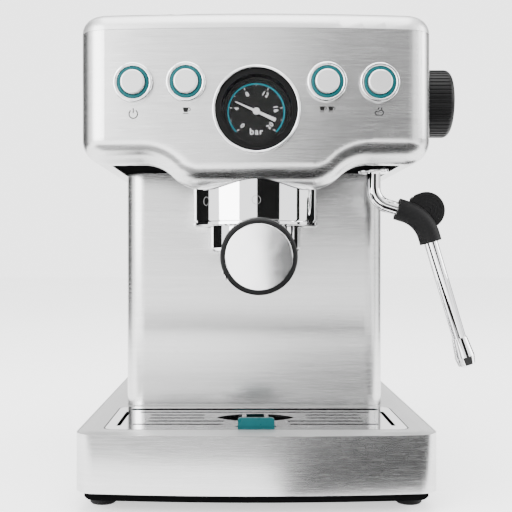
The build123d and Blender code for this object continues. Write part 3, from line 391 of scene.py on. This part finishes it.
def sheet_steel(look):
    """Zinc-plated sheet with its spangle."""
    shader = Shader("sheet_steel")
    place = shader.object_place()
    spangle = shader.node("ShaderNodeTexVoronoi", {}, {"Vector": place, "Scale": 140.0})["Distance"]
    dull = (0.42, 0.43, 0.44)
    bright = (0.62, 0.63, 0.64)
    tone = shader.mix(spangle.clamp(), rgb(dull), rgb(bright))
    return shader.set(
        base_color=tone, metallic=1.0, roughness=0.34 + spangle.clamp() * 0.15,
        normal=shader.bump(spangle, 0.05, 0.0001),
    ).material


def ink(name, colour, roughness):
    """Thin screen print, slightly uneven."""
    shader = Shader(name)
    patch = shader.noise(2200.0, 3.0)
    tone = shader.mix(patch, rgb(colour, 0.88), rgb(colour, 1.08))
    return shader.set(
        base_color=tone, roughness=roughness + (patch - 0.5) * 0.12, specular_ior_level=0.1,
        normal=shader.bump(patch, 0.08, 0.00003),
    ).material


MATT_NODES = ("underside_panel", "base_pan")  # these take matt_black in place of their slot's finish
MATERIALS = {
    "brushed_steel": brushed_steel,
    "satin_silver": satin_silver,
    "polished_steel": polished_steel,
    "chrome": chrome,
    "black_plastic": black_plastic,
    "gloss_black": gloss_black,
    "teal_plastic": teal_plastic,
    "silver_cap": silver_cap,
    "rubber": rubber,
    "brass": brass,
    "aluminium": cast_aluminium,
    "glass": clear_glass,
    "smoked_plastic": smoked_plastic,
    "board": solder_mask,
    "sheet_steel": sheet_steel,
}


# ---- mesh helpers
def facing_front(x, y, z, turn=0.0):
    """Carry a flat shape drawn in XY on to a face that looks to the front, turned about Z."""
    place = Matrix.Translation((x, y, z))
    return place @ Matrix.Rotation(turn, 4, "Z") @ Matrix.Rotation(math.radians(90), 4, "X")


def add_plate(bm, outline, depth):
    """Flat closed plate from an outline of (x, y) points, between z = 0 and z = depth."""
    corners = [bm.verts.new((x, y, 0.0)) for x, y in outline]
    face = bm.faces.new(corners)
    raised = bmesh.ops.extrude_face_region(bm, geom=[face])
    lifted = [item for item in raised["geom"] if isinstance(item, bmesh.types.BMVert)]
    bmesh.ops.translate(bm, verts=lifted, vec=(0.0, 0.0, depth))


def add_bar(bm, start, end, width, depth):
    """Straight printed bar between two points."""
    start = Vector(start)
    end = Vector(end)
    along = (end - start).normalized()
    across = Vector((-along.y, along.x)) * width / 2
    outline = (start - across, end - across, end + across, start + across)
    add_plate(bm, [(point.x, point.y) for point in outline], depth)


def add_arc(bm, middle, radius, width, depth, first, last, steps):
    """Printed arc about a middle: angles in degrees, clockwise from straight up."""
    closed = abs(last - first) >= 360
    angle = math.radians(first)
    inner = radius - width / 2
    outer = radius + width / 2
    section = []
    for reach, height in ((inner, 0.0), (outer, 0.0), (outer, depth), (inner, depth)):
        x = middle[0] + reach * math.sin(angle)
        y = middle[1] + reach * math.cos(angle)
        section.append(bm.verts.new((x, y, height)))
    loop = [bm.edges.new((section[n], section[(n + 1) % 4])) for n in range(4)]
    turned = bmesh.ops.spin(
        bm, geom=section + loop, cent=(middle[0], middle[1], 0.0), axis=(0, 0, -1),
        angle=math.radians(last - first), steps=steps, use_merge=closed,
    )
    if not closed:
        bm.faces.new(section)
        end = [item for item in turned["geom_last"] if isinstance(item, bmesh.types.BMEdge)]
        bmesh.ops.contextual_create(bm, geom=end)


def add_mesh(bm, other):
    """Put one bmesh into another and free it."""
    mesh = bpy.data.meshes.new("part")
    other.to_mesh(mesh)
    other.free()
    bm.from_mesh(mesh)
    bpy.data.meshes.remove(mesh)


def finish_piece(name, bm, body, material):
    """Clean a mesh, turn its faces outwards and hand it to its body."""
    bmesh.ops.remove_doubles(bm, verts=bm.verts, dist=1e-7)
    bmesh.ops.recalc_face_normals(bm, faces=bm.faces)
    for face in bm.faces:
        face.smooth = False
    mesh = bpy.data.meshes.new(name)
    bm.to_mesh(mesh)
    bm.free()
    piece = bpy.data.objects.new(name, mesh)
    bpy.context.scene.collection.objects.link(piece)
    piece.data.materials.append(material)
    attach(piece, body)
    return piece


def add_text(bm, words, size, depth, place):
    """Add lettering as a raised plate, centred on the origin of place."""
    curve = bpy.data.curves.new("words", "FONT")
    curve.body = words
    curve.size = 1.0
    curve.extrude = depth / size / 2
    curve.align_x = "CENTER"
    curve.align_y = "CENTER"
    curve.resolution_u = 3
    curve.space_character = LETTER_SPACE
    holder = bpy.data.objects.new("words", curve)
    bpy.context.scene.collection.objects.link(holder)
    mesh = bpy.data.meshes.new_from_object(holder)
    mesh.transform(place @ Matrix.Translation((0, 0, depth / 2)) @ Matrix.Scale(size, 4))
    bm.from_mesh(mesh)
    bpy.data.objects.remove(holder)
    bpy.data.curves.remove(curve)
    bpy.data.meshes.remove(mesh)


def face_turn(look, x):
    """Y of the bowed fascia at x, and how far the face turns there."""
    radius = look.bow_radius
    y = HEAD_FRONT + radius - math.sqrt(radius**2 - x**2)
    return y, math.asin(x / radius)


# ---- sizes and colours that a user would change
class EspressoLook(bpy.types.PropertyGroup):
    steel: FloatVectorProperty(
        name="Brushed steel", description="Colour of the brushed sheet", subtype="COLOR",
        default=(0.66, 0.66, 0.66), min=0.0, max=1.0,
    )
    silver: FloatVectorProperty(
        name="Satin silver", description="Colour of the top cover, base frame and caps", subtype="COLOR",
        default=(0.66, 0.66, 0.66), min=0.0, max=1.0,
    )
    chrome: FloatVectorProperty(
        name="Chrome", description="Colour of the plated pieces", subtype="COLOR",
        default=(0.90, 0.90, 0.91), min=0.0, max=1.0,
    )
    black: FloatVectorProperty(
        name="Black plastic", description="Colour of the black mouldings", subtype="COLOR",
        default=(0.0035, 0.0035, 0.0037), min=0.0, max=1.0,
    )
    rubber: FloatVectorProperty(
        name="Rubber", description="Colour of the feet and the wand sleeve", subtype="COLOR",
        default=(0.004, 0.004, 0.0042), min=0.0, max=1.0,
    )
    teal: FloatVectorProperty(
        name="Teal", description="Colour of the light rings and the float", subtype="COLOR",
        default=(0.0, 0.060, 0.068), min=0.0, max=1.0,
    )
    smoke: FloatVectorProperty(
        name="Smoked plastic", description="Tint of the water tank", subtype="COLOR",
        default=(0.10, 0.11, 0.115), min=0.0, max=1.0,
    )
    brush_lines: FloatProperty(
        name="Brush lines", description="Brush marks per metre across the grain",
        default=1500.0, min=100.0,
    )
    brush_contrast: FloatProperty(
        name="Brush contrast", description="How strongly the brush marks show", default=0.75, min=0.0,
    )
    bow_radius: FloatProperty(
        name="Bow radius", description="Plan radius of the fascia", default=0.94, unit="LENGTH", min=0.3,
    )


class EspressoDial(bpy.types.PropertyGroup):
    arc_radius: FloatProperty(
        name="Arc radius", description="Radius of the coloured arc", default=19.0 * MM, unit="LENGTH",
    )
    arc_width: FloatProperty(
        name="Arc width", description="Width of the coloured arc", default=0.9 * MM, unit="LENGTH",
    )
    sweep: FloatProperty(
        name="Sweep", description="Angle from the lowest to the highest mark", default=math.radians(270),
        subtype="ANGLE",
    )
    highest: IntProperty(name="Highest mark", description="Pressure at the end of the scale", default=20)
    step: IntProperty(name="Mark step", description="Pressure between two numbered marks", default=4)
    figure_size: FloatProperty(
        name="Figure size", description="Height of the figures", default=4.4 * MM, unit="LENGTH",
    )
    colour: FloatVectorProperty(
        name="Arc colour", description="Colour of the printed arc", subtype="COLOR",
        default=(0.0, 0.20, 0.26), min=0.0, max=1.0,
    )


class EspressoFinger(bpy.types.PropertyGroup):
    disc: FloatProperty(
        name="Disc", description="Diameter of the disc on the wand sleeve", default=27.0 * MM,
        unit="LENGTH",
    )
    rings: IntProperty(name="Rings", description="Number of raised rings", default=4, min=0)
    rim: FloatProperty(
        name="Rim", description="From the edge of the disc to the first ring", default=2.0 * MM,
        unit="LENGTH",
    )
    pitch: FloatProperty(
        name="Pitch", description="Distance from ring to ring", default=2.6 * MM, unit="LENGTH",
    )
    width: FloatProperty(name="Width", description="Width of a ring", default=0.9 * MM, unit="LENGTH")
    height: FloatProperty(name="Height", description="Height of a ring", default=0.5 * MM, unit="LENGTH")


# ---- operators
class ESPRESSO_OT_finishes(bpy.types.Operator):
    """Give every piece of the machine its finish"""

    bl_idname = "espresso.finishes"
    bl_label = "Finishes"

    def execute(self, context):
        look = context.scene.espresso_look
        made = {slot: make(look) for slot, make in MATERIALS.items()}
        shaded = matt_black(look)
        for part in frame["record"]["subparts"]:
            node = NODES[part["node"]]
            node.data.materials.clear()
            matt = part["node"] in MATT_NODES
            node.data.materials.append(shaded if matt else made[part["material_slot"]])
        return {"FINISHED"}


class ESPRESSO_OT_dial(bpy.types.Operator):
    """Print the coloured arc, the marks and the figures on the gauge dial"""

    bl_idname = "espresso.dial"
    bl_label = "Gauge dial"

    def execute(self, context):
        dial = context.scene.espresso_dial
        depth = DIAL_PRINT
        on_dial = facing_front(GAUGE.x, DIAL_FRONT, GAUGE.z)
        half = math.degrees(dial.sweep) / 2
        arc = bmesh.new()
        add_arc(arc, (0, 0), dial.arc_radius, dial.arc_width, depth, -half, half, 90)
        bmesh.ops.transform(arc, matrix=on_dial, verts=arc.verts)
        teal = ink("dial_teal", dial.colour, 0.4)
        finish_piece("dial_arc", arc, "machine", teal)
        marks = bmesh.new()
        count = dial.highest // dial.step
        top = dial.arc_radius - TICK_START
        for number in range(2 * count + 1):
            angle = math.radians(-half + number * half / count)
            way = Vector((math.sin(angle), math.cos(angle)))
            numbered = number % 2 == 0
            length = LONG_TICK if numbered else SHORT_TICK
            add_bar(marks, way * top, way * (top - length), TICK_LINE, depth)
            if numbered:
                spot = way * (dial.arc_radius - FIGURE_INSET)
                upright = angle if abs(angle) < math.radians(100) else angle + math.pi
                turn = Matrix.Rotation(-upright, 4, "Z")
                place = Matrix.Translation((spot.x, spot.y, 0)) @ turn
                add_text(marks, str(number // 2 * dial.step), dial.figure_size, depth, place)
        unit_place = Matrix.Translation((0, -UNIT_BELOW, 0))
        add_text(marks, "bar", dial.figure_size * UNIT_SCALE, depth, unit_place)
        bmesh.ops.transform(marks, matrix=on_dial, verts=marks.verts)
        white = ink("dial_white", (0.85, 0.86, 0.87), 0.45)
        finish_piece("dial_marks", marks, "machine", white)
        return {"FINISHED"}


def power_icon(bm, depth):
    """Broken ring with an upright bar in its gap."""
    add_arc(bm, (0, 0), 2.9 * MM, 0.7 * MM, depth, 35, 325, 36)
    add_bar(bm, (0, 0.6 * MM), (0, 3.9 * MM), 0.7 * MM, depth)


def cup_icon(bm, depth, x=0.0, size=1.0):
    """Small cup with a handle on a saucer line."""
    unit = size * MM
    outline = ((-2.2, 1.6), (-1.5, -1.5), (1.1, -1.5), (1.8, 1.6))
    add_plate(bm, [(x + a * unit, b * unit) for a, b in reversed(outline)], depth)
    add_arc(bm, (x + 1.9 * unit, 0.3 * unit), 1.0 * unit, 0.45 * unit, depth, -20, 190, 14)
    add_bar(bm, (x - 2.0 * unit, -2.4 * unit), (x + 1.6 * unit, -2.4 * unit), 0.45 * unit, depth)


def two_cups_icon(bm, depth):
    """Two smaller cups side by side."""
    cup_icon(bm, depth, -2.9 * MM, 0.9)
    cup_icon(bm, depth, 2.9 * MM, 0.9)


def steam_icon(bm, depth):
    """Low cloud with two wisps that rise from it."""
    width = 0.6 * MM
    add_arc(bm, (-1.6 * MM, -0.8 * MM), 1.3 * MM, width, depth, 175, 380, 20)
    add_arc(bm, (1.0 * MM, -0.6 * MM), 1.7 * MM, width, depth, -65, 165, 20)
    add_bar(bm, (-1.5 * MM, -2.1 * MM), (1.6 * MM, -2.1 * MM), width, depth)
    for x in (-0.9 * MM, 1.1 * MM):
        add_bar(bm, (x, 1.6 * MM), (x + 0.7 * MM, 3.0 * MM), width, depth)


# what is printed under each button, and how far below the button's middle in millimetres
ICONS = {
    "power_button": (power_icon, 20.8),
    "single_cup_button": (cup_icon, 18.4),
    "double_cup_button": (two_cups_icon, 17.6),
    "steam_button": (steam_icon, 19.4),
}


class ESPRESSO_OT_icons(bpy.types.Operator):
    """Print the icon under each button"""

    bl_idname = "espresso.icons"
    bl_label = "Button icons"

    def execute(self, context):
        look = context.scene.espresso_look
        grey = ink("print_grey", (0.006, 0.006, 0.006), 0.5)
        for button, (draw, below) in ICONS.items():
            spot = centre(button)
            y, turn = face_turn(look, spot.x)
            icon = bmesh.new()
            draw(icon, ICON_PRINT)
            place = facing_front(spot.x, y, spot.z - below * MM, turn)
            bmesh.ops.transform(icon, matrix=place, verts=icon.verts)
            finish_piece(button.replace("button", "icon"), icon, "machine", grey)
        return {"FINISHED"}


class ESPRESSO_OT_collar_marks(bpy.types.Operator):
    """Engrave the two ring marks that show where the portafilter goes in and where it locks"""

    bl_idname = "espresso.collar_marks"
    bl_label = "Collar marks"

    def execute(self, context):
        out = facing_front(0.0, MARK_SUNK - COLLAR_HIGH.x, 0.0)
        middle = Matrix.Translation((COLLAR.x, COLLAR.y, COLLAR_LOW.z + MARK_ABOVE_EDGE))
        marks = bmesh.new()
        for angle in MARK_ANGLES:
            ring = bmesh.new()
            add_arc(ring, (0, 0), MARK_RADIUS, MARK_LINE, MARK_DEPTH, 0, 360, 32)
            place = middle @ Matrix.Rotation(math.radians(angle), 4, "Z") @ out
            bmesh.ops.transform(ring, matrix=place, verts=ring.verts)
            add_mesh(marks, ring)
        grey = ink("engraved_grey", (0.16, 0.16, 0.16), 0.5)
        finish_piece("collar_marks", marks, "machine", grey)
        return {"FINISHED"}


class ESPRESSO_OT_finger_rings(bpy.types.Operator):
    """Raise the concentric grip rings on the finger disc of the wand"""

    bl_idname = "espresso.finger_rings"
    bl_label = "Finger rings"

    def execute(self, context):
        finger = context.scene.espresso_finger
        low, high = (Vector(corner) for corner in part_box("wand_grip_sleeve"))
        radius = finger.disc / 2
        rings = bmesh.new()
        for number in range(finger.rings):
            ring = bmesh.new()
            reach = radius - finger.rim - finger.pitch * number
            add_arc(ring, (0, 0), reach, finger.width, finger.height, 0, 360, 48)
            add_mesh(rings, ring)
        on_disc = facing_front(high.x - radius, low.y + SLEEVE_RADIUS, high.z - radius)
        bmesh.ops.transform(rings, matrix=on_disc, verts=rings.verts)
        finish_piece("finger_rings", rings, "wand", bpy.data.materials["rubber"])
        return {"FINISHED"}


# ---- stage
ROOM_LIGHT = 2.3
BACKDROP_LIGHT = 3.2        # what the camera sees behind the machine
FLOOR_SIZE = 6.0            # half the side of the floor
FLOOR_GLOW = 0.9
LIT_PLACE = Vector((0.0, -0.05, 0.17))
CAMERA_PLACE = (-9.5 * MM, -727 * MM, 170 * MM)
LENS = 62.8
SENSOR = 36.0
SHIFT = (0.027, -0.002)
CARD_AWAY = 1.2             # from the machine's axis to an upright card
# soft boxes: name, place, side, power
SOFTBOXES = (
    ("left_softbox", (-1.25, -1.15, 0.75), 1.3, 46.0),
    ("right_softbox", (1.35, -0.15, 0.75), 0.7, 12.0),
    ("top_softbox", (0.0, -0.35, 1.65), 1.5, 34.0),
)
# upright dark cards: name, azimuth to the right of the front and spread in degrees, low and high edge, grey
CARDS = (
    ("front_right_card", 21.0, 38.0, 0.19, 0.40, 0.004),
    ("upper_right_card", 24.0, 34.0, 0.40, 0.80, 0.12),
    ("left_card", -113.0, 46.0, 0.0, 1.5, 0.004),
    ("right_card", 122.0, 26.0, 0.0, 1.5, 0.004),
    ("narrow_card", 78.0, 7.0, 0.0, 1.5, 0.004),
    ("rear_card", 180.0, 70.0, 0.55, 1.9, 0.03),
)
# level dark cards: name, middle x and y, height, width, depth, grey
LEVEL_CARDS = (
    ("lip_card", 0.0, -0.215, 0.10, 0.26, 0.13, 0.004),
    ("floor_card", 0.45, -0.62, 0.002, 0.86, 0.86, 0.02),
    ("front_floor_card", -0.32, -0.45, 0.003, 0.70, 0.34, 0.22),
)


class ESPRESSO_OT_stage(bpy.types.Operator):
    """Set up the pale floor, the soft lights and the camera"""

    bl_idname = "espresso.stage"
    bl_label = "Stage"

    def execute(self, context):
        scene = context.scene
        self.floor()
        self.world(scene)
        for softbox in SOFTBOXES:
            self.softbox(*softbox)
        for card in CARDS:
            self.card(*card)
        for card in LEVEL_CARDS:
            self.level_card(*card)
        self.camera(scene)
        return {"FINISHED"}

    def floor(self):
        """Pale floor with a faint glow, which keeps it near white."""
        bm = bmesh.new()
        bmesh.ops.create_grid(bm, x_segments=1, y_segments=1, size=FLOOR_SIZE)
        mesh = bpy.data.meshes.new("floor")
        bm.to_mesh(mesh)
        bm.free()
        floor = bpy.data.objects.new("floor", mesh)
        bpy.context.scene.collection.objects.link(floor)
        shader = Shader("floor_white")
        grain = shader.noise(40.0, 3.0)
        shader.set(
            base_color=(0.93, 0.93, 0.93, 1.0), roughness=0.6 + grain * 0.1, specular_ior_level=0.1,
            emission_color=(1.0, 1.0, 1.0, 1.0), emission_strength=FLOOR_GLOW,
        )
        mesh.materials.append(shader.material)

    def sheet(self, width, depth):
        """Level sheet about the origin."""
        bm = bmesh.new()
        bmesh.ops.create_grid(bm, x_segments=1, y_segments=1, size=0.5)
        bmesh.ops.scale(bm, vec=(width, depth, 1.0), verts=bm.verts)
        return bm

    def card(self, name, azimuth, spread, low, high, grey):
        """Upright dark card that only reflections see."""
        bm = self.sheet(2 * CARD_AWAY * math.tan(math.radians(spread) / 2), high - low)
        turn = Matrix.Rotation(math.radians(azimuth), 4, "Z")
        stand = facing_front(0.0, -CARD_AWAY, (low + high) / 2)
        bmesh.ops.transform(bm, matrix=turn @ stand, verts=bm.verts)
        self.hang(name, bm, grey)

    def level_card(self, name, x, y, z, width, depth, grey):
        """Level dark card, for rounded lower edges and tilted faces to reflect."""
        bm = self.sheet(width, depth)
        bmesh.ops.translate(bm, vec=(x, y, z), verts=bm.verts)
        self.hang(name, bm, grey)

    def hang(self, name, bm, grey):
        """Make a dark card from a mesh, seen by reflections only."""
        mesh = bpy.data.meshes.new(name)
        bm.to_mesh(mesh)
        bm.free()
        card = bpy.data.objects.new(name, mesh)
        card.visible_camera = False
        card.visible_shadow = False
        card.visible_diffuse = False
        bpy.context.scene.collection.objects.link(card)
        shader = Shader(name)
        shader.set(base_color=(grey, grey, grey, 1.0), roughness=0.9, specular_ior_level=0.0)
        mesh.materials.append(shader.material)

    def world(self, scene):
        """Even light from all round, with a brightness of its own for what the camera sees."""
        world = bpy.data.worlds.new("studio")
        world.use_nodes = True
        tree = world.node_tree
        room = tree.nodes["Background"]
        room.inputs["Strength"].default_value = ROOM_LIGHT
        backdrop = tree.nodes.new("ShaderNodeBackground")
        backdrop.inputs["Strength"].default_value = BACKDROP_LIGHT
        for background in (room, backdrop):
            background.inputs["Color"].default_value = (1.0, 1.0, 1.0, 1.0)
        path = tree.nodes.new("ShaderNodeLightPath")
        either = tree.nodes.new("ShaderNodeMixShader")
        tree.links.new(path.outputs["Is Camera Ray"], either.inputs[0])
        tree.links.new(room.outputs[0], either.inputs[1])
        tree.links.new(backdrop.outputs[0], either.inputs[2])
        tree.links.new(either.outputs[0], tree.nodes["World Output"].inputs["Surface"])
        scene.world = world

    def softbox(self, name, place, size, power):
        """Square soft light aimed at the machine."""
        light = bpy.data.lights.new(name, "AREA")
        light.shape = "SQUARE"
        light.size = size
        light.energy = power
        lamp = bpy.data.objects.new(name, light)
        aim = LIT_PLACE - Vector(place)
        lamp.location = place
        lamp.rotation_euler = aim.to_track_quat("-Z", "Y").to_euler()
        bpy.context.scene.collection.objects.link(lamp)

    def camera(self, scene):
        """Level camera at the photograph's place."""
        lens = bpy.data.cameras.new("camera")
        lens.sensor_width = SENSOR
        lens.lens = LENS
        lens.shift_x, lens.shift_y = SHIFT
        lens.clip_start = 0.01
        camera = bpy.data.objects.new("camera", lens)
        camera.location = CAMERA_PLACE
        camera.rotation_euler = (math.radians(90), 0, 0)
        scene.collection.objects.link(camera)
        scene.camera = camera


class ESPRESSO_PT_panel(bpy.types.Panel):
    """Lists the steps and their settings"""

    bl_idname = "ESPRESSO_PT_panel"
    bl_label = "Espresso machine"
    bl_space_type = "VIEW_3D"
    bl_region_type = "UI"
    bl_category = "Espresso"

    def draw(self, context):
        layout = self.layout
        scene = context.scene
        for group in (scene.espresso_look, scene.espresso_dial, scene.espresso_finger):
            box = layout.box()
            for name in group.bl_rna.properties.keys():
                if name not in ("rna_type", "name"):
                    box.prop(group, name)
        for step in STEPS:
            layout.operator(step.bl_idname)


STEPS = (
    ESPRESSO_OT_stage,
    ESPRESSO_OT_finishes,
    ESPRESSO_OT_dial,
    ESPRESSO_OT_icons,
    ESPRESSO_OT_collar_marks,
    ESPRESSO_OT_finger_rings,
)
CLASSES = (EspressoLook, EspressoDial, EspressoFinger, *STEPS, ESPRESSO_PT_panel)


def register():
    for item in CLASSES:
        bpy.utils.register_class(item)
    bpy.types.Scene.espresso_look = PointerProperty(type=EspressoLook)
    bpy.types.Scene.espresso_dial = PointerProperty(type=EspressoDial)
    bpy.types.Scene.espresso_finger = PointerProperty(type=EspressoFinger)


def unregister():
    del bpy.types.Scene.espresso_finger
    del bpy.types.Scene.espresso_dial
    del bpy.types.Scene.espresso_look
    for item in reversed(CLASSES):
        bpy.utils.unregister_class(item)


def main():
    register()
    bpy.ops.espresso.stage()
    bpy.ops.espresso.finishes()
    bpy.ops.espresso.dial()
    bpy.ops.espresso.icons()
    bpy.ops.espresso.collar_marks()
    bpy.ops.espresso.finger_rings()


if __name__ == "__main__":
    main()
